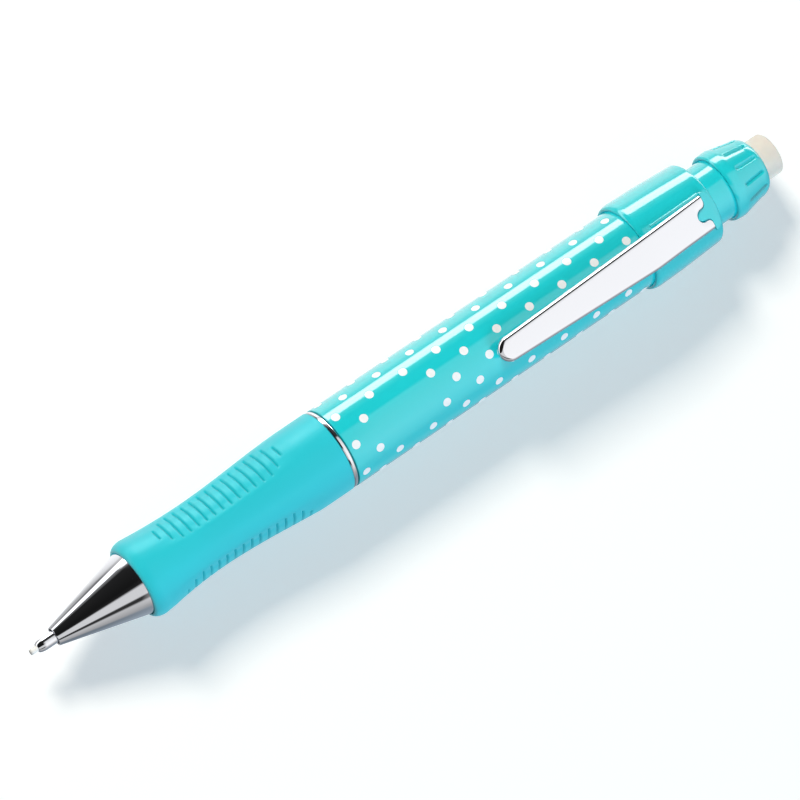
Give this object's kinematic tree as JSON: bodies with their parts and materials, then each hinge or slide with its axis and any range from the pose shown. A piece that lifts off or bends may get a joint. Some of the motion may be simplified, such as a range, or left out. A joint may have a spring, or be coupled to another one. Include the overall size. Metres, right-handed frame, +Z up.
{
  "type": "mechanical fabric pencil",
  "caption": "Push-button fabric pencil: chrome cone tip, ribbed rubber grip, gloss barrel, collar with a sprung clip, and a twist-out eraser in a knurled push knob",
  "frame": {"origin": "Under the middle of the overall length, on the surface that the pencil's collar rests on, below the axis.", "axes": "+X runs along the pencil from the lead to the eraser. +Z points up, through the middle of the clip. +Y is across, right-handed."},
  "size_m": [0.1396, 0.0148, 0.0165],
  "materials": {
    "chalk_lead": "white wax-clay fabric lead, dull, slightly grey at the worn end",
    "chrome_plate": "mirror-bright chrome plating",
    "machined_brass": "turned brass, uncoated",
    "spring_steel": "drawn steel wire",
    "inner_rubber": "dull black rubber",
    "inner_plastic": "plain moulded plastic",
    "grip_rubber": "turquoise soft-touch rubber, matte",
    "turquoise_plastic": "turquoise moulded plastic, high gloss",
    "eraser_rubber": "off-white eraser vinyl, matte"
  },
  "bodies": {
    "pencil_body": {"tip_sleeve": "chrome_plate", "lead_retainer": "inner_rubber", "nose_cone": "chrome_plate", "grip_core": "inner_plastic", "rubber_grip": "grip_rubber", "mechanism_housing": "inner_plastic", "trim_ring": "chrome_plate", "barrel": "turquoise_plastic", "clip_collar": "turquoise_plastic", "chuck_spring": "spring_steel"},
    "feed_unit": {"chuck": "machined_brass", "chuck_holder": "inner_plastic", "lead_tube": "inner_plastic"},
    "clutch": {"clutch_ring": "machined_brass"},
    "lead": {"lead": "chalk_lead"},
    "push_unit": {"push_plug": "inner_plastic", "push_sleeve": "turquoise_plastic"},
    "knob": {"eraser_knob": "turquoise_plastic", "eraser_guide": "inner_plastic"},
    "eraser_unit": {"eraser_carrier": "inner_plastic", "eraser": "eraser_rubber"},
    "clip": {"clip": "chrome_plate"}
  },
  "joints": [
    {"name": "button_press", "type": "slide", "parent": "pencil_body", "child": "feed_unit", "axis": [-1, 0, 0], "range_m": [0, 0.0035], "stiffness_N_per_m": 1200, "springref_m": -0.0025, "deforming": ["chuck_spring"]},
    {"name": "clutch_slide", "type": "slide", "parent": "pencil_body", "child": "clutch", "axis": [-1, 0, 0], "range_m": [0, 0.0009]},
    {"name": "lead_feed", "type": "slide", "parent": "pencil_body", "child": "lead", "axis": [-1, 0, 0], "range_m": [-0.0011, 0.038]},
    {"name": "refill_pull", "type": "slide", "parent": "feed_unit", "child": "push_unit", "axis": [1, 0, 0], "range_m": [0, 0.034]},
    {"name": "knob_twist", "type": "hinge", "parent": "push_unit", "child": "knob", "pos_m": [0.063, 0, 0.00741], "axis": [1, 0, 0], "range_deg": [-121, 511]},
    {"name": "eraser_feed", "type": "slide", "parent": "knob", "child": "eraser_unit", "axis": [1, 0, 0], "range_m": [-0.00267, 0.01133]},
    {"name": "clip_flex", "type": "hinge", "parent": "pencil_body", "child": "clip", "pos_m": [0.0525, 0, 0.014], "axis": [0, 1, 0], "range_deg": [0, 5], "stiffness_Nm_per_rad": 5}
  ],
  "couplings": [
    {"joint": "clutch_slide", "follows": "button_press", "ratio": 0.25},
    {"joint": "knob_twist", "follows": "eraser_feed", "rad_per_m": 785.4}
  ]
}
